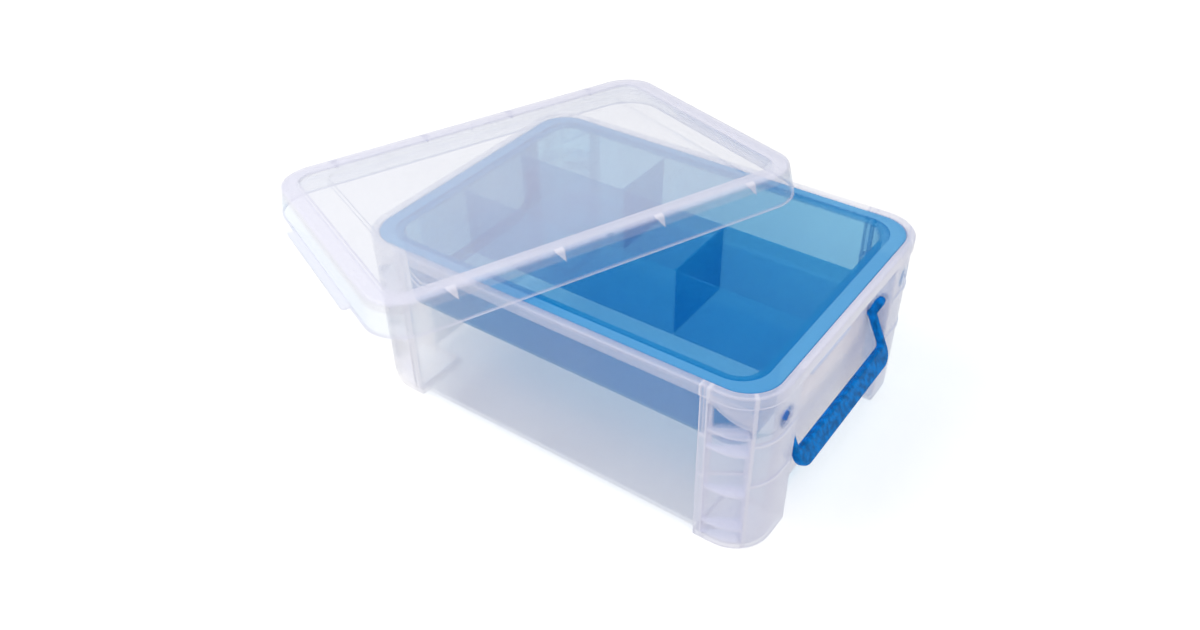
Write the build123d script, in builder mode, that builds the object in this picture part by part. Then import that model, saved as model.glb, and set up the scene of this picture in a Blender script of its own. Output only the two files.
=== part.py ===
from build123d import *
import math
import os

# Divided supply box: a clear tub that stands on four corner feet, a blue divider
# tray hung in its mouth, a clear lid lying askew across the rim, and a blue bail
# handle pinned into each end. Millimetres, +Z up. The origin is the middle of the
# tub on the surface it stands on, X runs along the tub and -Y is the near side.

# Tub
tub_length = 360.0            # over the rim
tub_width = 260.0
tub_height = 144.0
tub_wall = 2.0
rim_corner_radius = 33.0
rim_width = 6.3               # flat top of the rolled rim
rim_skin = 1.8                # its band and its inner wall
rim_plate = 2.0               # its flat top, in thickness
rim_band_height = 9.0
post_inset = 1.1              # from the band back to the corner posts
post_draft = 0.55             # degrees, the posts narrow towards the feet
foot_height = 5.5             # the middle of the base stands this far up
floor_thickness = 2.2
foot_edge_radius = 2.5
rim_edge_radius = 0.5
post_edge_radius = 1.0        # upright edges of the posts beside the recesses
recess_corner_radius = 2.0

post_side_span = 49.0         # a corner post, along the long side
post_end_span = 53.0          # and along the short side
end_recess_depth = 17.0       # from the rim's outer edge to the end wall
side_recess_depth = 5.8
ledge_thickness = 2.0         # roof of the recesses, the tray hangs on it

rib_height = 2.4              # raised rings round each post
rib_rise = 0.8
rib_root = 16.0               # how far the upright ribs are rooted in the post
rib_end_gap = 1.5             # rings to the edges of the recesses
lower_rib_level = 64.0        # the upper ring is level with the pins
strip_width = 7.0             # smooth strip between side recess and niche
corner_rib_angle = 48.0       # degrees round the post from the end face
corner_rib_width = 2.6
upright_foot = 5.0            # lower end of the upright ribs

niche_start_depth = 3.4       # a niche in each post, open to the long side, beside the strip
niche_end_depth = 12.8        # and beside the corner rib
niche_rib_gap = 3.0           # degrees, niche to the middle of the corner rib
niche_foot = 8.0              # lower end above the surface the tub stands on
niche_top_drop = 12.0         # from the rim top to its upper end beside the strip
brace_slope = 30.0            # degrees that the niche's roof falls towards the rib
lower_shelf_levels = (21.0, 54.5)
upper_shelf_drops = (51.0, 35.2)  # below the rim top
shelf_thickness = 2.0

end_rib_length = 62.0         # raised rib on the end wall, level with the pins
end_rib_height = 3.0
end_rib_rise = 4.0
tick_place = 69.0             # small mark on the band of each long side
tick_width = 1.6
tick_rise = 0.5

# Tray
tray_clearance = 0.75         # flange to rim, each side
seat_gap = 0.3                # a resting piece over what carries it
tray_drop = 0.4               # flange top below the rim top
flange_thickness = 2.4
flange_edge_radius = 0.6
flange_band_side = 7.5        # upper, flat band of the flange
bin_end_gap = 3.55            # bin to the end walls, under the flange
flange_step_width = 6.5
flange_step_drop = 1.4
tray_depth = 65.0
tray_wall = 1.5
tray_floor = 1.6
tray_draft = 1.6              # degrees
tray_corner_radius = 17.0
tray_floor_radius = 3.0
divider_thickness = 1.5
divider_drop = 3.0            # divider tops below the flange top
near_divider_y = -28.5        # the two long dividers
far_divider_y = 44.8
middle_divider_x = 49.0       # cross divider of the middle row
far_divider_x = -48.0         # cross divider of the far row

# Lid
lid_clearance = 0.7           # skirt to rim, each side
lid_skin = 1.5
lid_plate = 2.0
lid_edge_radius = 2.5         # outside of the top edge
lid_inner_edge_radius = 1.0
lid_height = 26.0
lid_taper = 9.8               # degrees, the skirt flares downwards
lid_border = 14.5             # raised border inside the top edge
recess_depth = 3.4            # the border above the sunk top
recess_radius = 15.0
panel_end_margin = 25.2       # sunk top to the deeper middle panel, at the ends
panel_side_margin = 3.2
panel_drop = 2.1
latch_end_gap = 1.5           # ledge that a handle hooks over, to the handle's arms
latch_rise = 6.0
latch_height = 6.0
latch_corner_radius = 3.0
gusset_spacing = 83.5         # triangular webs inside the skirt
gusset_count = 4
gusset_length = 7.0
gusset_height = 9.0
gusset_thickness = 2.0
lid_turn = 65.8               # degrees from X to the lid's long side
lid_corner_reach = 269.970    # its far right corner, unrounded, from the tub's left end
lid_corner_inset = 18.004     # and inside the far edge of the rim
lid_gap = 0.5

# Handles
pin_drop = 43.0               # below the rim top
pin_inset = 9.0               # inside the rim's outer edge
pin_diameter = 6.0
pin_hole_clearance = 0.1      # each side
pin_reach = 3.4               # past the recess wall, into the post
arm_side_gap = 2.0            # arm to recess wall
arm_thickness = 5.0
arm_depth = 6.6
eye_wall = 0.6                # arm round the pin
knee_gap = 0.35               # knee to end wall: the hanging stop
knee_drop = 11.6              # below the pins
grip_angle = 65.0             # degrees below the horizontal, knee to bar
arm_length = 27.7             # knee to the inner edge of the bar
grip_width = 16.0
grip_corner_radius = 12.0
grip_edge_radius = 1.8
window_corner_radius = 3.0    # inside corners, arm to bar
arm_edge_radius = 1.0         # upper part of the arms

os.makedirs("parts", exist_ok=True)

half_length = tub_length / 2
half_width = tub_width / 2
post_length = tub_length - 2 * post_inset
post_width = tub_width - 2 * post_inset
post_radius = rim_corner_radius - post_inset
post_top = tub_height - rim_plate
side_recess_length = tub_length - 2 * post_side_span
end_recess_width = tub_width - 2 * post_end_span
end_wall_x = half_length - end_recess_depth
side_wall_y = half_width - side_recess_depth
arm_outer_y = end_recess_width / 2 - arm_side_gap
arm_inner_y = arm_outer_y - arm_thickness
window_width = 2 * arm_inner_y
tray_top = tub_height - tray_drop
ledge_top = tray_top - flange_thickness - seat_gap
ledge_under = ledge_top - ledge_thickness
rim_inner_length = tub_length - 2 * rim_width
rim_inner_width = tub_width - 2 * rim_width
rim_inner_radius = rim_corner_radius - rim_width
overlap = 10.0                # how far a cutting block runs past the tub
strip_x = side_recess_length / 2 + strip_width
pin_x = half_length - pin_inset
pin_z = tub_height - pin_drop
rib_levels = (lower_rib_level, pin_z)
niche_top = tub_height - niche_top_drop
shelf_levels = lower_shelf_levels + tuple(tub_height - drop for drop in upper_shelf_drops)
corner_x = half_length - rim_corner_radius
corner_y = half_width - rim_corner_radius


def recess_blocks(grow, top):
    """The end and side recesses as one part, grown all round by a wall thickness."""
    with BuildPart() as blocks:
        with BuildSketch(Plane.XY.offset(-overlap)):
            for side in (-1, 1):
                end_depth = end_recess_depth + overlap + grow
                end_x = side * (end_wall_x - grow + end_depth / 2)
                with Locations((end_x, 0)):
                    RectangleRounded(end_depth, end_recess_width + 2 * grow, recess_corner_radius + grow)
                side_depth = side_recess_depth + overlap + grow
                side_y = side * (side_wall_y - grow + side_depth / 2)
                with Locations((0, side_y)):
                    RectangleRounded(side_recess_length + 2 * grow, side_depth, recess_corner_radius + grow)
        extrude(amount=top + overlap)
        with BuildSketch(Plane.XY.offset(-overlap)):
            Rectangle(side_recess_length + 2 * grow, tub_width + 2 * overlap)
            Rectangle(tub_length + 2 * overlap, end_recess_width + 2 * grow)
        extrude(amount=foot_height + grow * floor_thickness / tub_wall + overlap)
    return blocks.part


# Niche of a post, in plan for the far right one: beside the strip, along the back
# wall to the corner rib, and out past the post's face.
niche_angle = math.radians(corner_rib_angle + niche_rib_gap)
niche_radial = Vector(math.cos(niche_angle), math.sin(niche_angle))
corner_centre = Vector(corner_x, corner_y)
niche_plan = (
    Vector(strip_x, half_width - post_inset - niche_start_depth),
    corner_centre + niche_radial * (post_radius - niche_end_depth),
    corner_centre + niche_radial * (rim_corner_radius + overlap),
    Vector(strip_x, half_width + overlap),
)
niche_end_x = half_length + overlap
niche_roof_fall = (niche_end_x - strip_x) * math.tan(math.radians(brace_slope))


def niche_blocks(grow):
    """The niches of the four posts as one part, grown all round by a wall thickness."""
    with BuildPart() as blocks:
        with BuildSketch(Plane.XY):
            for x_side in (-1, 1):
                for y_side in (-1, 1):
                    corners = [(x_side * point.X, y_side * point.Y) for point in niche_plan]
                    with BuildLine():
                        Polyline(*corners, close=True)
                    make_face()
            if grow:
                offset(amount=grow, kind=Kind.INTERSECTION)
        extrude(amount=tub_height)
        with BuildSketch(Plane.XZ):
            for x_side in (-1, 1):
                with BuildLine():
                    Polyline(
                        (x_side * (strip_x - grow), niche_foot - grow),
                        (x_side * niche_end_x, niche_foot - grow),
                        (x_side * niche_end_x, niche_top + grow - niche_roof_fall),
                        (x_side * (strip_x - grow), niche_top + grow),
                        close=True,
                    )
                make_face()
        extrude(amount=half_width + overlap, both=True, mode=Mode.INTERSECT)
    return blocks.part


outer_recesses = recess_blocks(0.0, ledge_under)
inner_recesses = recess_blocks(tub_wall, ledge_top)
outer_niches = niche_blocks(0.0)
inner_niches = niche_blocks(tub_wall)


def is_post_edge(edge):
    """True for the upright edges where a post's face meets a recess."""
    middle = edge.center()
    beside_side = abs(abs(middle.X) - side_recess_length / 2) < post_edge_radius
    beside_end = abs(abs(middle.Y) - end_recess_width / 2) < post_edge_radius
    on_side = beside_side and abs(middle.Y) > side_wall_y + recess_corner_radius
    on_end = beside_end and abs(middle.X) > end_wall_x + recess_corner_radius
    return edge.length > tub_height / 2 and (on_side or on_end)


# Outer shape of the four posts and the base, narrowing towards the feet.
with BuildPart() as post_body:
    with BuildSketch(Plane.XY.offset(post_top)):
        RectangleRounded(post_length, post_width, post_radius)
    extrude(amount=-post_top, taper=post_draft)
    fillet(post_body.edges().group_by(Axis.Z)[0], foot_edge_radius)
    add(outer_recesses, mode=Mode.SUBTRACT)
    fillet(post_body.edges().filter_by(is_post_edge), post_edge_radius)

# Hollow of the tub: the posts' inner faces, less recesses and niches grown by the wall.
with BuildPart() as tub_hollow:
    with BuildSketch(Plane.XY.offset(post_top)):
        RectangleRounded(post_length - 2 * tub_wall, post_width - 2 * tub_wall, post_radius - tub_wall)
    extrude(amount=floor_thickness - post_top, taper=post_draft)
    fillet(tub_hollow.edges().group_by(Axis.Z)[0], foot_edge_radius)
    add(inner_recesses, mode=Mode.SUBTRACT)
    add(inner_niches, mode=Mode.SUBTRACT)

# Shelves across the niches, flush with the post's face.
with BuildPart() as niche_shelves:
    for level in shelf_levels:
        with Locations((0, 0, level - shelf_thickness / 2)):
            Box(tub_length + 2 * overlap, tub_width + 2 * overlap, shelf_thickness)
    add(inner_niches, mode=Mode.INTERSECT)
    add(post_body.part, mode=Mode.INTERSECT)

# Raised rings and uprights on the outside of the posts.
ring_length = post_side_span - rib_end_gap
ring_width = post_end_span - rib_end_gap
with BuildPart() as post_ribs:
    for level in rib_levels:
        with BuildSketch(Plane.XY.offset(level - rib_height / 2)):
            with GridLocations(tub_length - ring_length, tub_width - ring_width, 2, 2):
                Rectangle(ring_length, ring_width)
        extrude(amount=rib_height)
    with BuildSketch(Plane.XY.offset(upright_foot)):
        for x_side in (-1, 1):
            for y_side in (-1, 1):
                reach_x = x_side * (corner_x + rim_corner_radius * math.cos(math.radians(corner_rib_angle)))
                reach_y = y_side * (corner_y + rim_corner_radius * math.sin(math.radians(corner_rib_angle)))
                tilt = x_side * y_side * corner_rib_angle
                with Locations(Location((reach_x, reach_y, 0), (0, 0, tilt))):
                    Rectangle(rib_root, corner_rib_width)
                with Locations((x_side * strip_x, y_side * half_width)):
                    Rectangle(rib_height, rib_root)
    extrude(amount=post_top - upright_foot)
    with BuildSketch(Plane.XY.offset(post_top)):
        RectangleRounded(post_length + 2 * rib_rise, post_width + 2 * rib_rise, post_radius + rib_rise)
    extrude(amount=-post_top, taper=post_draft, mode=Mode.INTERSECT)

# Rolled rim: an outer band, a flat top and an inner wall, open underneath.
with BuildPart() as rim:
    with BuildSketch(Plane.XY.offset(post_top)):
        RectangleRounded(tub_length, tub_width, rim_corner_radius)
        RectangleRounded(rim_inner_length, rim_inner_width, rim_inner_radius, mode=Mode.SUBTRACT)
    extrude(amount=rim_plate)
    fillet(rim.edges().group_by(Axis.Z)[-1], rim_edge_radius)
    with BuildSketch(Plane.XY.offset(tub_height - rim_band_height)):
        RectangleRounded(tub_length, tub_width, rim_corner_radius)
        RectangleRounded(tub_length - 2 * rim_skin, tub_width - 2 * rim_skin,
                         rim_corner_radius - rim_skin, mode=Mode.SUBTRACT)
    extrude(amount=rim_band_height - rim_plate)
    with BuildSketch(Plane.XY.offset(ledge_under)):
        RectangleRounded(rim_inner_length + 2 * rim_skin, rim_inner_width + 2 * rim_skin,
                         rim_inner_radius + rim_skin)
        RectangleRounded(rim_inner_length, rim_inner_width, rim_inner_radius, mode=Mode.SUBTRACT)
    extrude(amount=post_top - ledge_under)
    with BuildSketch(Plane.XY.offset(tub_height - rim_band_height)):
        with GridLocations(2 * tick_place, tub_width, 2, 2):
            Rectangle(tick_width, 2 * tick_rise)
    extrude(amount=rim_band_height - rim_plate)

pin_hole_radius = pin_diameter / 2 + pin_hole_clearance

with BuildPart() as tub:
    add(post_body.part)
    add(post_ribs.part)
    add(outer_recesses, mode=Mode.SUBTRACT)
    add(outer_niches, mode=Mode.SUBTRACT)
    add(tub_hollow.part, mode=Mode.SUBTRACT)
    add(niche_shelves.part)
    with BuildSketch(Plane.XY.offset(ledge_under)):
        Rectangle(side_recess_length, tub_width)
        Rectangle(tub_length, end_recess_width)
        RectangleRounded(rim_inner_length + 2 * rim_skin, rim_inner_width + 2 * rim_skin,
                         rim_inner_radius + rim_skin, mode=Mode.SUBTRACT)
    extrude(amount=post_top - ledge_under, mode=Mode.SUBTRACT)
    add(rim.part)
    for side in (-1, 1):
        with Locations((side * (end_wall_x + end_rib_rise / 2), 0, pin_z)):
            Box(end_rib_rise, end_rib_length, end_rib_height)
        with Locations((side * pin_x, 0, pin_z)):
            Cylinder(pin_hole_radius, end_recess_width + 2 * overlap, rotation=(90, 0, 0),
                     mode=Mode.SUBTRACT)
tub.part.label = "tub"
export_step(tub.part, "parts/tub.step")

# Divider tray: flange with an inner step, tapered bin, four dividers in one piece.
tray_length = rim_inner_length - 2 * tray_clearance
tray_width = rim_inner_width - 2 * tray_clearance
bin_length = 2 * (end_wall_x - tub_wall - bin_end_gap)
mouth_length = bin_length - 2 * tray_wall
step_length = mouth_length + 2 * flange_step_width
step_width = tray_width - 2 * flange_band_side
mouth_width = step_width - 2 * flange_step_width
bin_width = mouth_width + 2 * tray_wall
bin_radius = tray_corner_radius + tray_wall
step_radius = tray_corner_radius + flange_step_width
divider_top = tray_top - divider_drop
tray_bottom = tray_top - tray_depth

with BuildPart() as tray_bin:
    with BuildSketch(Plane.XY.offset(tray_top)):
        RectangleRounded(mouth_length, mouth_width, tray_corner_radius)
    extrude(amount=tray_floor - tray_depth, taper=tray_draft)
    fillet(tray_bin.edges().group_by(Axis.Z)[0], tray_floor_radius)

with BuildPart() as tray_dividers:
    with BuildSketch(Plane.XY.offset(tray_bottom + tray_floor / 2)):
        for row_y in (near_divider_y, far_divider_y):
            with Locations((0, row_y)):
                Rectangle(bin_length, divider_thickness)
        with Locations((middle_divider_x, (near_divider_y + far_divider_y) / 2)):
            Rectangle(divider_thickness, far_divider_y - near_divider_y)
        with Locations((far_divider_x, (far_divider_y + bin_width / 2) / 2)):
            Rectangle(divider_thickness, bin_width / 2 - far_divider_y)
    extrude(amount=divider_top - tray_bottom - tray_floor / 2)
    add(tray_bin.part, mode=Mode.INTERSECT)

with BuildPart() as tray:
    with BuildSketch(Plane.XY.offset(tray_top)):
        RectangleRounded(bin_length, bin_width, bin_radius)
    extrude(amount=-tray_depth, taper=tray_draft)
    fillet(tray.edges().group_by(Axis.Z)[0], tray_floor_radius + tray_wall)
    with BuildSketch(Plane.XY.offset(tray_top - flange_thickness)):
        RectangleRounded(tray_length, tray_width, rim_inner_radius - tray_clearance)
    extrude(amount=flange_thickness)
    fillet(tray.edges().group_by(Axis.Z)[-1], flange_edge_radius)
    with BuildSketch(Plane.XY.offset(tray_top - flange_step_drop)):
        RectangleRounded(step_length, step_width, step_radius)
    extrude(amount=flange_step_drop, mode=Mode.SUBTRACT)
    add(tray_bin.part, mode=Mode.SUBTRACT)
    add(tray_dividers.part)
tray.part.label = "divider_tray"
export_step(tray.part, "parts/divider_tray.step")

# Lid, built on the tilted plane of its own lower edge. It rests on the rim in three
# places: the long skirt on the near rim, the short skirt on the far rim, and the
# underside of the sunk panel on the far left corner.
lid_length = tub_length + 2 * (lid_clearance + lid_skin)
lid_width = tub_width + 2 * (lid_clearance + lid_skin)
lid_radius = rim_corner_radius + lid_clearance + lid_skin
lid_flare = lid_height * math.tan(math.radians(lid_taper))
recess_length = lid_length - 2 * (lid_flare + lid_border)
recess_width = lid_width - 2 * (lid_flare + lid_border)
panel_length = recess_length - 2 * panel_end_margin
panel_width = recess_width - 2 * panel_side_margin
panel_radius = recess_radius - panel_side_margin
latch_length = window_width - 2 * latch_end_gap
recess_under = lid_height - recess_depth - lid_plate
panel_under = recess_under - panel_drop

turn = math.radians(lid_turn)
along = Vector(math.cos(turn), math.sin(turn), 0)
across = Vector(-math.sin(turn), math.cos(turn), 0)
lid_corner = Vector(lid_corner_reach - half_length, half_width - lid_corner_inset, tub_height + lid_gap)
lid_middle = lid_corner - along * (lid_length / 2) + across * (lid_width / 2)
near_rest = lid_corner - along * ((lid_corner.Y + half_width) / along.Y)
far_rest = lid_corner + across * ((half_width - lid_corner.Y) / across.Y)
rest_line = (far_rest - near_rest).normalized()
downhill = Vector(-rest_line.Y, rest_line.X, 0)
corner_rest = Vector(-corner_x, corner_y, lid_middle.Z) + downhill * rim_corner_radius
lid_tilt = math.asin(panel_under / (corner_rest - near_rest).dot(downhill))
lid_normal = Vector(0, 0, 1) * math.cos(lid_tilt) + downhill * math.sin(lid_tilt)
lid_sink = (lid_middle - near_rest).dot(downhill) * math.tan(lid_tilt)
lid_plane = Plane(
    origin=lid_middle - Vector(0, 0, lid_sink),
    x_dir=along - lid_normal * along.dot(lid_normal),
    z_dir=lid_normal,
)

lid_axis = Axis(lid_plane.origin, lid_plane.z_dir)

with BuildPart() as lid_body:
    with BuildSketch(lid_plane):
        RectangleRounded(lid_length, lid_width, lid_radius)
    extrude(amount=lid_height, taper=lid_taper)
    fillet(lid_body.faces().sort_by(lid_axis)[-1].edges(), lid_edge_radius)

with BuildPart() as lid_hollow:
    with BuildSketch(lid_plane):
        RectangleRounded(lid_length - 2 * lid_skin, lid_width - 2 * lid_skin, lid_radius - lid_skin)
    extrude(amount=lid_height - lid_plate, taper=lid_taper)
    fillet(lid_hollow.faces().sort_by(lid_axis)[-1].edges(), lid_inner_edge_radius)

with BuildPart() as lid_gussets:
    for side in (-1, 1):
        inner_y = lid_width / 2 - lid_flare - lid_skin - gusset_thickness
        gusset_plane = Plane(
            origin=lid_plane.from_local_coords((0, side * inner_y, lid_height - lid_plate / 2)),
            x_dir=lid_plane.x_dir,
            z_dir=lid_plane.y_dir * -1,
        )
        with BuildSketch(gusset_plane):
            with GridLocations(gusset_spacing, gusset_height, gusset_count, 1):
                with BuildLine():
                    Polyline(
                        (-gusset_length / 2, 0),
                        (gusset_length / 2, 0),
                        (gusset_length / 2, -gusset_height),
                        close=True,
                    )
                make_face()
        extrude(amount=-side * (lid_flare + lid_skin))
    add(lid_body.part, mode=Mode.INTERSECT)

with BuildPart() as lid:
    add(lid_body.part)
    add(lid_hollow.part, mode=Mode.SUBTRACT)
    for level, length, width, radius, depth in (
        (recess_under, recess_length, recess_width, recess_radius, recess_depth),
        (panel_under, panel_length, panel_width, panel_radius, panel_drop),
    ):
        with BuildSketch(lid_plane.offset(level)):
            RectangleRounded(length + 2 * lid_plate, width + 2 * lid_plate, radius + lid_plate)
        extrude(amount=depth)
        with BuildSketch(lid_plane.offset(level + lid_plate)):
            RectangleRounded(length, width, radius)
        extrude(amount=depth, mode=Mode.SUBTRACT)
    with BuildSketch(lid_plane):
        for side in (-1, 1):
            ledge_depth = latch_rise + lid_skin
            with Locations((side * (lid_length / 2 - lid_skin + ledge_depth / 2), 0)):
                RectangleRounded(ledge_depth, latch_length, latch_corner_radius)
    extrude(amount=latch_height)
    add(lid_gussets.part)
lid.part.label = "lid"
export_step(lid.part, "parts/lid.step")

# Handles: a cranked arm each side of a flat grip bar, with a pin on each arm. The
# knee of the arm lies against the end wall when the handle hangs.
eye_radius = pin_diameter / 2 + eye_wall
pin_length = pin_reach + tub_wall + arm_side_gap + arm_thickness / 2
pin_middle_y = arm_outer_y - arm_thickness / 2 + pin_length / 2
knee_x = end_wall_x + knee_gap + arm_depth / 2
knee_z = pin_z - knee_drop
grip_end = arm_length + grip_width
frame_width = 2 * arm_outer_y


def build_handle(side):
    """One handle: side is 1 for the +X end of the tub and -1 for the -X end."""
    slant = math.radians(grip_angle)
    grip_plane = Plane(
        origin=(side * knee_x, 0, knee_z),
        x_dir=(0, side, 0),
        z_dir=(side * math.sin(slant), 0, math.cos(slant)),
    )
    with BuildPart() as upper_arms:
        for arm_side in (-1, 1):
            with BuildSketch(Plane.XZ.offset(arm_side * (arm_outer_y + arm_inner_y) / 2)):
                with Locations((side * pin_x, pin_z)):
                    Circle(eye_radius)
                with Locations((side * knee_x, knee_z)):
                    Circle(arm_depth / 2)
                make_hull()
            extrude(amount=arm_thickness / 2, both=True)
        fillet(upper_arms.faces().filter_by(Axis.Y).edges(), arm_edge_radius)
        for arm_side in (-1, 1):
            with Locations((side * pin_x, arm_side * pin_middle_y, pin_z)):
                Cylinder(pin_diameter / 2, pin_length, rotation=(90, 0, 0))
    with BuildPart() as handle:
        with BuildSketch(grip_plane):
            with Locations((0, -grip_end / 2)):
                Rectangle(frame_width, grip_end)
            fillet(vertices().group_by(Axis.Y)[0], grip_corner_radius)
            RectangleRounded(window_width, 2 * arm_length, window_corner_radius, mode=Mode.SUBTRACT)
        extrude(amount=arm_depth / 2, both=True)
        fillet(handle.faces().filter_by(grip_plane).edges(), grip_edge_radius)
        add(upper_arms.part)
    return handle.part


with BuildPart() as handle_right:
    add(build_handle(1))
handle_right.part.label = "handle_right"
export_step(handle_right.part, "parts/handle_right.step")

with BuildPart() as handle_left:
    add(build_handle(-1))
handle_left.part.label = "handle_left"
export_step(handle_left.part, "parts/handle_left.step")
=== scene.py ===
# Looks of the divided supply box: plastics, floor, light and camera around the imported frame.
# Every piece keeps its CAD mesh. Masks in the materials are worked out from places on it.

import math

import bpy
import numpy as np
from mathutils import Matrix, Vector

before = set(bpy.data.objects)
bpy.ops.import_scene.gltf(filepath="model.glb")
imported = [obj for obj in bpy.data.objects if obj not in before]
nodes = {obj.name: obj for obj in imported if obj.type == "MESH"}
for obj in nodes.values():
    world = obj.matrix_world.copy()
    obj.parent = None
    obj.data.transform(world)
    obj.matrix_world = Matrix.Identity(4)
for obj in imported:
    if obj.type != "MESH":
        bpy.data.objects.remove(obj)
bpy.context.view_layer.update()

# Camera: where it stands in the row frame, in metres, and how it is turned, in degrees.
CAMERA_PLACE = (0.37775, -0.57405, 0.58611)
CAMERA_AZIMUTH = 36.055
CAMERA_ELEVATION = 37.406
CAMERA_ROLL = -0.9245
CAMERA_LENS = 31.71
CAMERA_SENSOR = 36.0

MOST_CROSSINGS = 40           # faces of thin plastic that one line of sight may cross

# Colours, linear.
WALL_COLOUR = (0.49, 0.50, 0.62)
# Painted light: the end wall is coloured whiter and pinker than the walls, for the light that
# falls on that side.
END_PAINTED_LIGHT_COLOUR = (0.98, 0.91, 0.95)
MILKY_COLOUR = (0.78, 0.78, 0.90)
# Painted light: the left end of the tub is coloured whiter for the more light that falls on it.
LEFT_PAINTED_LIGHT_COLOUR = (0.98, 0.96, 0.99)
PLATE_COLOUR = (0.70, 0.72, 0.82)
SKIRT_COLOUR = (0.62, 0.74, 0.89)
TRAY_COLOUR = (0.001, 0.26, 0.60)
# Painted light: the flange's top is coloured lighter than the tray, for the light it gets from
# above.
FLANGE_PAINTED_LIGHT_COLOUR = (0.11, 0.42, 0.76)
TRAY_TINT = (0.62, 0.885, 0.985)
HANDLE_COLOUR = (0.001, 0.165, 0.52)
FLOOR_COLOUR = (0.85, 0.84, 0.82)

# Light: the world's level as a share of the one at which a colour renders as it is written,
# and the lamps' powers in watts.
WORLD_LEVEL = 0.58
KEY_POWER = 14.0
FILL_POWER = 8.0
FLOOR_GLOW = 0.33             # the floor's own light for the rays that see it
FAR_GLOW = 0.60               # further out, where the lamps reach it less
NEAR_REACH = 0.35
FAR_REACH = 1.10
FLOOR_REACH = 3.0
KEY_PLACE = (-1.0, -0.8, 1.6)
FILL_PLACE = (0.9, -0.7, 1.5)
LAMP_TARGET = (0, 0, 0.1)
LAMP_SIZE = 1.4

# Haze: the share of light that one surface of the plastic keeps when seen straight on. Each
# piece's first value holds all over it, and the others are added to it in their places.
TUB_HAZE = 0.12
POST_HAZE = 0.16
RIM_HAZE = 0.06
RIB_HAZE = 0.30
SHELF_HAZE = 0.06
END_HAZE = 0.26
LID_SKIRT_HAZE = 0.08
LID_PLATE_HAZE = 0.10
LID_BORDER_HAZE = 0.24
GUSSET_HAZE = 0.60
TRAY_HAZE = 0.16
FLANGE_HAZE = 0.40
SHADOW_SHARE = 0.20           # of the haze, in the shadow that it casts: it scatters light on
FLATTEST_SLANT = 0.16         # cosine of the slant past which the haze grows no more
PLAIN_BLEND = 0.5             # at which Layer Weight's Facing is 1 less the slant's cosine

# Finish of the moulded plastics: noise scales per metre, bump depth in metres.
GRAIN_SCALE = 420.0
GRAIN_SHARE = 0.01            # of the ripple's height
GRAIN_SPREAD = (0.3, 0.7)     # noise values that the roughness and the drift run between
SMOOTHER = 0.05
ROUGHER = 0.06
RIPPLE_SCALE = 13.0
RIPPLE_DEPTH = 0.0006
RIPPLE_STRENGTH = 0.18
DRIFT_SCALE = 7.0
DRIFT_DETAIL = 3.0
PLASTIC_IOR = 1.49
TUB_ROUGHNESS = 0.24
TUB_DRIFT = 0.12
LID_ROUGHNESS = 0.26
LID_DRIFT = 0.08
TRAY_ROUGHNESS = 0.30
TRAY_DRIFT = 0.06
CLEAR_SHINE = 0.5
TRAY_SHINE = 0.3

# Finish of the handles.
PATCH_SCALE = 200.0
PATCH_DETAIL = 3.0
PATCH_ROUGHNESS = 0.6
PATCH_SPREAD = (0.38, 0.62)
PATCH_SHADES = (0.70, 1.40)   # darker and lighter than the handle's colour
HANDLE_ROUGHNESS = (0.36, 0.50)
HANDLE_SHINE = 0.08
HANDLE_BUMP_DEPTH = 0.0004
HANDLE_BUMP_STRENGTH = 0.6

# Places on the tub, in metres, as its corner posts, niches and ribs have them.
POST_X = 0.131
POST_Y = 0.077
NICHE_X = 0.138
NICHE_BACK_Y = 0.1085
CORNER_X = 0.147
CORNER_Y = 0.097
CORNER_RIB_ANGLE = 48.0       # degrees
CORNER_RIB_HALF = 0.045       # radians, as its soft edge
CORNER_RIB_SOFT = 0.012
CORNER_RIB_START = 0.012
RIB_HALF = 0.0012
# POST_EDGE_Y: where the painted highlight along the post's outer edge begins.
POST_EDGE_Y = 0.124
SHELF_FOOT = 0.012
SHELF_UPRIGHT = 0.8           # a face turned up or down at least this far is a shelf
SHELF_SOFT = 0.05
RING_LEVELS = (0.064, 0.101)
TOP_SHELF = 0.109
NICHE_TOP = 0.132
NICHE_ROOF_SLOPE = math.tan(math.radians(30.0))
BAND_FOOT = 0.135
LEFT_X = -0.125               # the left end is given a clearer look and a whiter colour, painted light for the more light that falls there
LEFT_SOFT = 0.030
LEFT_SHARE = 0.35
END_X = 0.1605
END_WALL_X = 0.163
END_RIB_START = 0.0008        # out from the end wall
END_RIB_HALF = 0.0315
END_RIB_HALF_HEIGHT = 0.004
END_EDGE = 0.0005             # how far the end wall reaches past the post's edge
POLISH_X = 0.172              # the skin over the pin's end is given a clearer look
POLISH_Y = 0.0952
POLISH_Z = 0.1150
POLISH_RADIUS = 0.0092
POLISH_SOFT = 0.0018
POLISH_SHARE = 0.96

# The lid: how far it is turned, in degrees, and its parts, in metres. LID_TOP, LID_BORDER and
# GUSSET_TOP are depths under its top edge.
LID_TURN = 65.8
LID_TOP = 0.0085              # down to under the sunk plate
LID_BORDER = 0.0030
LID_FOOT = 0.0016             # up from the skirt's lower edge
GUSSET_SPACING = 0.0835
GUSSET_LENGTH = 0.007
GUSSET_HEIGHT = 0.009
GUSSET_TOP = 0.001
GUSSET_END = 0.150
GUSSET_Y = 0.1238

# Top of the tray's flange, and how far down its outer band and its step reach. The band is
# coloured lighter, as painted light from above.
FLANGE_TOP = 0.1436
FLANGE_BAND = 0.0008
FLANGE_DEPTH = 0.0028

EDGE_SOFT = 0.0004            # half the width over which a mask fades out, in metres


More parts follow.
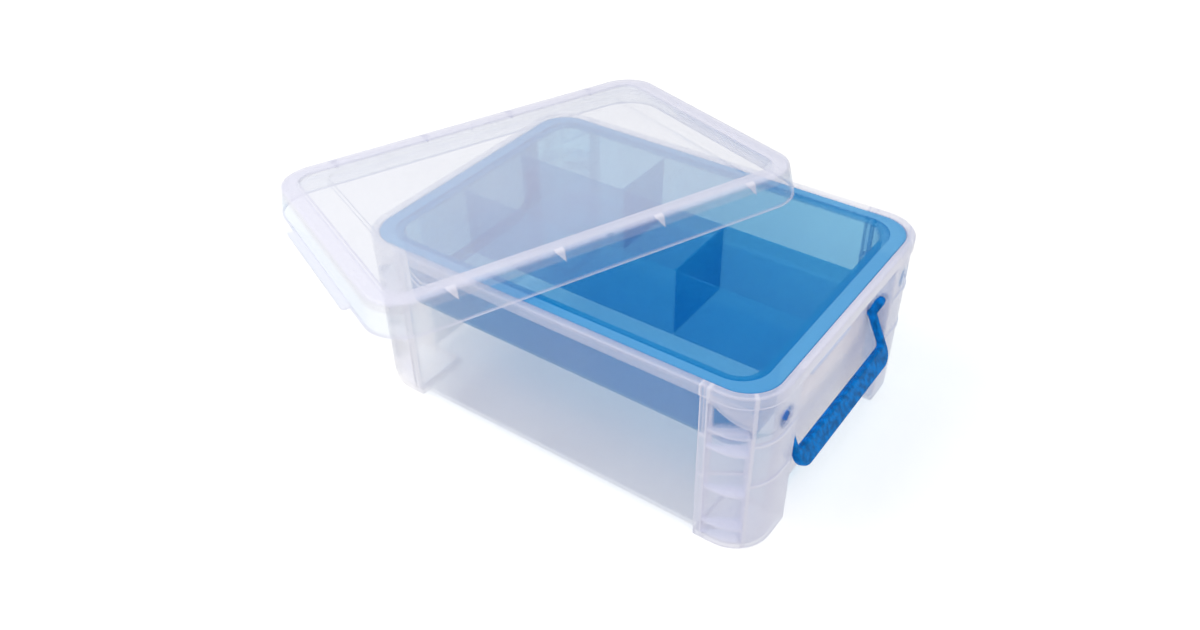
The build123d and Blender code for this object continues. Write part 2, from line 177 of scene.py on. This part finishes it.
class Nodes:
    """Short calls for building one material's node tree."""

    def __init__(self, name):
        self.material = bpy.data.materials.new(name)
        self.material.use_nodes = True
        self.tree = self.material.node_tree
        self.tree.nodes.clear()
        self.coordinates = self.add("ShaderNodeTexCoord")
        self.place = self.coordinates.outputs["Object"]
        self.light_path = self.add("ShaderNodeLightPath")

    def add(self, kind, links=None, **values):
        node = self.tree.nodes.new(kind)
        for key, value in values.items():
            setattr(node, key, value)
        for name, source in (links or {}).items():
            target = node.inputs[name]
            if isinstance(source, bpy.types.NodeSocket):
                self.tree.links.new(source, target)
            else:
                target.default_value = source
        return node

    def maths(self, operation, *sources):
        return self.add("ShaderNodeMath", dict(enumerate(sources)), operation=operation).outputs[0]

    def product(self, first, *others):
        for other in others:
            first = self.maths("MULTIPLY", first, other)
        return first

    def most(self, first, *others):
        for other in others:
            first = self.maths("MAXIMUM", first, other)
        return first

    def total(self, first, *others):
        for other in others:
            first = self.maths("ADD", first, other)
        return first

    def ramp(self, value, low, high, to_low=0.0, to_high=1.0):
        """Straight line from to_low at low to to_high at high, flat outside."""
        links = {0: value, 1: low, 2: high, 3: to_low, 4: to_high}
        return self.add("ShaderNodeMapRange", links).outputs[0]

    def above(self, value, edge, soft=EDGE_SOFT):
        return self.ramp(value, edge - soft, edge + soft)

    def below(self, value, edge, soft=EDGE_SOFT):
        return self.ramp(value, edge - soft, edge + soft, 1.0, 0.0)

    def near(self, value, middle, half, soft=EDGE_SOFT):
        distance = self.maths("ABSOLUTE", self.maths("SUBTRACT", value, middle))
        return self.below(distance, half, soft)

    def along(self, vector, direction, start=0.0):
        """How far a vector reaches along a direction, from start on."""
        links = {0: vector, 1: tuple(direction)}
        reach = self.add("ShaderNodeVectorMath", links, operation="DOT_PRODUCT").outputs["Value"]
        return self.maths("SUBTRACT", reach, start)

    def noise(self, scale, detail=2.0, roughness=0.5):
        links = {"Vector": self.place, "Scale": scale, "Detail": detail, "Roughness": roughness}
        return self.add("ShaderNodeTexNoise", links).outputs["Fac"]

    def bump(self, height, distance, strength):
        links = {"Height": height, "Distance": distance, "Strength": strength}
        return self.add("ShaderNodeBump", links).outputs["Normal"]

    def through(self, haze):
        """Haze of a wall seen at a slant: light crosses more of the plastic there."""
        facing = self.add("ShaderNodeLayerWeight", {"Blend": PLAIN_BLEND}).outputs["Facing"]
        slant = self.most(self.maths("SUBTRACT", 1.0, facing), FLATTEST_SLANT)
        clear = self.maths("SUBTRACT", 1.0, haze)
        passed = self.maths("POWER", clear, self.maths("DIVIDE", 1.0, slant))
        return self.maths("SUBTRACT", 1.0, passed)

    def finish(self, shader):
        output = self.add("ShaderNodeOutputMaterial")
        self.tree.links.new(shader, output.inputs["Surface"])
        return self.material


def mixed(n, share, first, second):
    """A colour between two. The Mix node's share is its socket 0, its colours are 6 and 7."""
    sides = {0: share, 6: first, 7: second}
    for key, side in sides.items():
        if isinstance(side, tuple):
            sides[key] = side + (1.0,)
    return n.add("ShaderNodeMix", sides, data_type="RGBA").outputs[2]


def moulded(n, colour, haze, roughness, drift, shine=CLEAR_SHINE, tint=None):
    """Thin moulded plastic: a faint ripple, a fine grain, and haze that drifts a little."""
    low, high = GRAIN_SPREAD
    grain = n.noise(GRAIN_SCALE)
    ripple = n.noise(RIPPLE_SCALE)
    height = n.total(n.product(grain, GRAIN_SHARE), ripple)
    uneven = n.ramp(n.noise(DRIFT_SCALE, DRIFT_DETAIL), low, high, 1.0 - drift, 1.0 + drift)
    scattered = n.through(n.product(haze, uneven))
    shadow = n.ramp(n.light_path.outputs["Is Shadow Ray"], 0.0, 1.0, 1.0, SHADOW_SHARE)
    share = n.product(scattered, shadow)
    shader = n.add("ShaderNodeBsdfPrincipled", {
        "Base Color": colour,
        "Roughness": n.ramp(grain, low, high, roughness - SMOOTHER, roughness + ROUGHER),
        "IOR": PLASTIC_IOR,
        "Specular IOR Level": shine,
        "Normal": n.bump(height, RIPPLE_DEPTH, RIPPLE_STRENGTH),
    })
    if tint is None:
        n.tree.links.new(share, shader.inputs["Alpha"])
        return n.finish(shader.outputs[0])
    clear = n.add("ShaderNodeBsdfTransparent", {"Color": tint + (1.0,)})
    both = n.add("ShaderNodeMixShader", {0: share, 1: clear.outputs[0], 2: shader.outputs[0]})
    return n.finish(both.outputs[0])


def corner_rib(n, x, y):
    """The rib that runs up the rounding of a corner post."""
    from_corner_x = n.maths("SUBTRACT", x, CORNER_X)
    from_corner_y = n.maths("SUBTRACT", y, CORNER_Y)
    angle = n.maths("ARCTAN2", from_corner_y, from_corner_x)
    rib_middle = math.radians(CORNER_RIB_ANGLE)
    return n.product(n.near(angle, rib_middle, CORNER_RIB_HALF, CORNER_RIB_SOFT),
                     n.above(from_corner_x, CORNER_RIB_START))


def clear_spot(n, x, y, z):
    """The round spot in the skin over a pin's end."""
    off_y = n.maths("SUBTRACT", y, POLISH_Y)
    off_z = n.maths("SUBTRACT", z, POLISH_Z)
    off = n.maths("SQRT", n.total(n.product(off_y, off_y), n.product(off_z, off_z)))
    return n.product(n.above(x, POLISH_X), n.below(off, POLISH_RADIUS, POLISH_SOFT))


def tub_plastic():
    """Clear plastic, milkier in the corner posts, their ribs and shelves, and the rim. Painted
    light makes the left end and the end wall whiter, and a painted highlight runs along the posts'
    edges.
    """
    n = Nodes("tub_plastic")
    across = n.add("ShaderNodeVectorMath", {0: n.place}, operation="ABSOLUTE").outputs[0]
    apart = n.add("ShaderNodeSeparateXYZ", {0: across})
    x, y, z = apart.outputs[0], apart.outputs[1], apart.outputs[2]
    post = n.product(n.above(x, POST_X), n.above(y, POST_Y))
    roof = n.total(n.product(x, -NICHE_ROOF_SLOPE), NICHE_TOP + NICHE_X * NICHE_ROOF_SLOPE)
    under_roof = n.above(n.maths("SUBTRACT", roof, z), 0.0)
    window = n.product(n.above(x, NICHE_X), n.above(z, TOP_SHELF), under_roof,
                       n.above(y, NICHE_BACK_Y))
    rim = n.above(z, BAND_FOOT)
    rings = n.most(*[n.near(z, level, RIB_HALF) for level in RING_LEVELS])
    corner = corner_rib(n, x, y)
    strip_edge = n.product(n.near(x, NICHE_X, RIB_HALF), n.above(y, NICHE_BACK_Y))
    # Painted highlight: a narrow milky strip along the post's outer edge, for the light a rounded
    # edge catches.
    post_edge_highlight = n.product(n.below(x, POST_X + RIB_HALF), n.above(y, POST_EDGE_Y))
    upright = n.along(n.coordinates.outputs["Normal"], (0, 0, 1))
    shelves = n.product(n.above(n.maths("ABSOLUTE", upright), SHELF_UPRIGHT, SHELF_SOFT),
                        n.above(z, SHELF_FOOT), n.below(z, BAND_FOOT), n.above(y, NICHE_BACK_Y))
    # The ribs' mask also carries the painted highlight along the post's edge.
    ribs = n.product(post, n.most(rings, corner, strip_edge, post_edge_highlight))
    end_rib = n.product(n.above(x, END_WALL_X + END_RIB_START), n.below(y, END_RIB_HALF),
                        n.near(z, RING_LEVELS[1], END_RIB_HALF_HEIGHT))
    milk = n.product(post, n.maths("SUBTRACT", 1.0, window))
    # The end wall, which is given a whiter and pinker colour as painted light, and more haze.
    end = n.product(n.above(x, END_X), n.below(y, POST_Y + END_EDGE))
    haze = n.total(n.product(milk, POST_HAZE), n.product(rim, RIM_HAZE), n.product(end, END_HAZE),
                   n.product(n.most(ribs, end_rib), RIB_HAZE),
                   n.product(post, shelves, SHELF_HAZE), TUB_HAZE)
    spot = clear_spot(n, x, y, z)
    haze = n.product(haze, n.maths("SUBTRACT", 1.0, n.product(spot, POLISH_SHARE)))
    # Painted light: the left end is coloured whiter for the light that falls on it, and its haze
    # is thinned as well.
    left_painted_light = n.below(n.along(n.place, (1, 0, 0)), LEFT_X, LEFT_SOFT)
    haze = n.product(haze, n.maths("SUBTRACT", 1.0, n.product(left_painted_light, LEFT_SHARE)))
    # Milky colour for the posts, the rim and the ribs, and as a painted highlight along the post's
    # edge.
    white = n.most(milk, rim, ribs)
    colour = mixed(n, n.most(white, end_rib), mixed(n, end, WALL_COLOUR, END_PAINTED_LIGHT_COLOUR), MILKY_COLOUR)
    return moulded(n, mixed(n, left_painted_light, colour, LEFT_PAINTED_LIGHT_COLOUR), haze, TUB_ROUGHNESS, TUB_DRIFT)


def lid_axes(lid):
    """The lid's own axes, and how far it reaches along each, read from its mesh."""
    mesh = lid.data
    plate = max(mesh.polygons, key=lambda face: face.area)
    up = Vector(plate.normal)
    if up.z < 0:
        up = -up
    turn = math.radians(LID_TURN)
    long_way = Vector((math.cos(turn), math.sin(turn), 0))
    long_way = (long_way - up * long_way.dot(up)).normalized()
    short_way = up.cross(long_way)
    points = np.empty(3 * len(mesh.vertices))
    mesh.vertices.foreach_get("co", points)
    points = points.reshape(-1, 3)
    reach = {}
    for name, axis in (("x", long_way), ("y", short_way), ("z", up)):
        places = points @ np.array(axis)
        reach[name] = (axis, float(places.min()), float(places.max()))
    return reach


def gussets(n, along, x, y, depth):
    """The triangular webs inside the skirt, at even steps along the lid."""
    reach_half = GUSSET_LENGTH / 2
    place = n.total(along, GUSSET_SPACING / 2)
    gusset_place = n.maths("WRAP", place, GUSSET_SPACING / 2, -GUSSET_SPACING / 2)
    gusset_foot = n.ramp(gusset_place, -reach_half, reach_half,
                         GUSSET_TOP, GUSSET_TOP + GUSSET_HEIGHT)
    return n.product(n.near(gusset_place, 0.0, reach_half), n.below(x, GUSSET_END),
                     n.above(y, GUSSET_Y), n.above(n.maths("SUBTRACT", gusset_foot, depth), 0.0))


def lid_plastic(lid):
    """The same plastic: frosted plate, white border and gussets, clear skirt."""
    n = Nodes("lid_plastic")
    reach = lid_axes(lid)
    centred = {}
    for name in ("x", "y"):
        axis, low, high = reach[name]
        centred[name] = n.along(n.place, axis, (low + high) / 2)
    axis, low, high = reach["z"]
    depth = n.maths("SUBTRACT", high, n.along(n.place, axis))
    x, y = n.maths("ABSOLUTE", centred["x"]), n.maths("ABSOLUTE", centred["y"])
    top = n.below(depth, LID_TOP)
    border = n.below(depth, LID_BORDER)
    foot = n.above(depth, high - low - LID_FOOT)
    webs = gussets(n, centred["x"], x, y, depth)
    haze = n.total(n.product(top, LID_PLATE_HAZE),
                   n.product(border, LID_BORDER_HAZE - LID_PLATE_HAZE),
                   n.product(foot, LID_BORDER_HAZE), n.product(webs, GUSSET_HAZE), LID_SKIRT_HAZE)
    clear = mixed(n, top, SKIRT_COLOUR, PLATE_COLOUR)
    colour = mixed(n, n.most(border, foot, webs), clear, MILKY_COLOUR)
    return moulded(n, colour, haze, LID_ROUGHNESS, LID_DRIFT)


def tray_plastic():
    """Blue plastic that light comes through: every further wall behind deepens it. The flange's
    top is painted lighter for the light from above.
    """
    n = Nodes("tray_plastic")
    depth = n.maths("SUBTRACT", FLANGE_TOP, n.along(n.place, (0, 0, 1)))
    # Painted light: the flange's top band is coloured lighter for the light from above.
    band = n.below(depth, FLANGE_BAND)
    flange = n.below(depth, FLANGE_DEPTH)
    colour = mixed(n, band, TRAY_COLOUR, FLANGE_PAINTED_LIGHT_COLOUR)
    haze = n.total(n.product(n.total(band, flange), FLANGE_HAZE / 2), TRAY_HAZE)
    return moulded(n, colour, haze, TRAY_ROUGHNESS, TRAY_DRIFT, TRAY_SHINE, TRAY_TINT)


def handle_plastic():
    """Solid blue plastic with a fine mottled texture on it."""
    n = Nodes("handle_plastic")
    patch = n.noise(PATCH_SCALE, PATCH_DETAIL, PATCH_ROUGHNESS)
    dark, light = (tuple(shade * c for c in HANDLE_COLOUR) for shade in PATCH_SHADES)
    shader = n.add("ShaderNodeBsdfPrincipled", {
        "Base Color": mixed(n, n.ramp(patch, *PATCH_SPREAD), dark, light),
        "Roughness": n.ramp(patch, *GRAIN_SPREAD, *HANDLE_ROUGHNESS),
        "IOR": PLASTIC_IOR,
        "Specular IOR Level": HANDLE_SHINE,
        "Normal": n.bump(patch, HANDLE_BUMP_DEPTH, HANDLE_BUMP_STRENGTH),
    })
    return n.finish(shader.outputs[0])


def paint(name, material):
    materials = nodes[name].data.materials
    materials.clear()
    materials.append(material)


def rays_to_white(tree):
    """1 for the rays that look at the background, 0 for the ones that light the object."""
    light_path = tree.nodes.new("ShaderNodeLightPath")
    seen = light_path.outputs["Is Camera Ray"]
    for name in ("Is Glossy Ray", "Is Transmission Ray"):
        either = tree.nodes.new("ShaderNodeMath")
        either.operation = "MAXIMUM"
        tree.links.new(seen, either.inputs[0])
        tree.links.new(light_path.outputs[name], either.inputs[1])
        seen = either.outputs[0]
    return seen


def make_floor():
    mesh = bpy.data.meshes.new("floor")
    reach = FLOOR_REACH
    corners = [(-reach, -reach, 0), (reach, -reach, 0), (reach, reach, 0), (-reach, reach, 0)]
    mesh.from_pydata(corners, [], [(0, 1, 2, 3)])
    floor = bpy.data.objects.new("floor", mesh)
    bpy.context.scene.collection.objects.link(floor)
    n = Nodes("floor")
    plain = n.add("ShaderNodeBsdfDiffuse", {"Color": FLOOR_COLOUR + (1.0,)})
    distance = n.add("ShaderNodeVectorMath", {0: n.place}, operation="LENGTH").outputs["Value"]
    level = n.ramp(distance, NEAR_REACH, FAR_REACH, FLOOR_GLOW, FAR_GLOW)
    glow = n.add("ShaderNodeEmission", {"Strength": n.product(rays_to_white(n.tree), level)})
    both = n.add("ShaderNodeAddShader", {0: plain.outputs[0], 1: glow.outputs[0]})
    mesh.materials.append(n.finish(both.outputs[0]))


def make_camera():
    azimuth = math.radians(CAMERA_AZIMUTH)
    elevation = math.radians(CAMERA_ELEVATION)
    roll = math.radians(CAMERA_ROLL)
    back = Vector((math.sin(azimuth) * math.cos(elevation),
                   -math.cos(azimuth) * math.cos(elevation), math.sin(elevation)))
    right = Vector((math.cos(azimuth), math.sin(azimuth), 0))
    up = back.cross(right)
    turned_right = right * math.cos(roll) + up * math.sin(roll)
    turned_up = up * math.cos(roll) - right * math.sin(roll)
    data = bpy.data.cameras.new("camera")
    data.sensor_width = CAMERA_SENSOR
    data.lens = CAMERA_LENS
    camera = bpy.data.objects.new("camera", data)
    bpy.context.scene.collection.objects.link(camera)
    camera.matrix_world = Matrix.Translation(CAMERA_PLACE) @ Matrix(
        (turned_right, turned_up, back)).transposed().to_4x4()
    bpy.context.scene.camera = camera


def make_lamp(name, place, power):
    data = bpy.data.lights.new(name, "AREA")
    data.shape = "DISK"
    data.size = LAMP_SIZE
    data.energy = power
    lamp = bpy.data.objects.new(name, data)
    bpy.context.scene.collection.objects.link(lamp)
    way = Vector(LAMP_TARGET) - Vector(place)
    turn = way.to_track_quat("-Z", "Y").to_matrix().to_4x4()
    lamp.matrix_world = Matrix.Translation(place) @ turn


def make_world():
    world = bpy.data.worlds.new("world")
    world.use_nodes = True
    tree = world.node_tree
    background = tree.nodes["Background"]
    background.inputs["Color"].default_value = (1.0, 1.0, 1.0, 1.0)
    level = tree.nodes.new("ShaderNodeMapRange")
    level.inputs["To Min"].default_value = WORLD_LEVEL
    level.inputs["To Max"].default_value = 1.0
    tree.links.new(rays_to_white(tree), level.inputs["Value"])
    tree.links.new(level.outputs["Result"], background.inputs["Strength"])
    bpy.context.scene.world = world


paint("tub", tub_plastic())
paint("lid", lid_plastic(nodes["lid"]))
paint("divider_tray", tray_plastic())
handle_material = handle_plastic()
paint("handle_left", handle_material)
paint("handle_right", handle_material)

make_floor()
make_camera()
make_lamp("key", KEY_PLACE, KEY_POWER)
make_lamp("fill", FILL_PLACE, FILL_POWER)
make_world()
scene = bpy.context.scene
scene.view_settings.view_transform = "Standard"
# A line of sight crosses up to some twenty faces of thin plastic, and behind so many the
# denoiser's helper passes are noisier than the picture.
scene.cycles.transparent_max_bounces = MOST_CROSSINGS
scene.cycles.denoising_input_passes = "RGB"
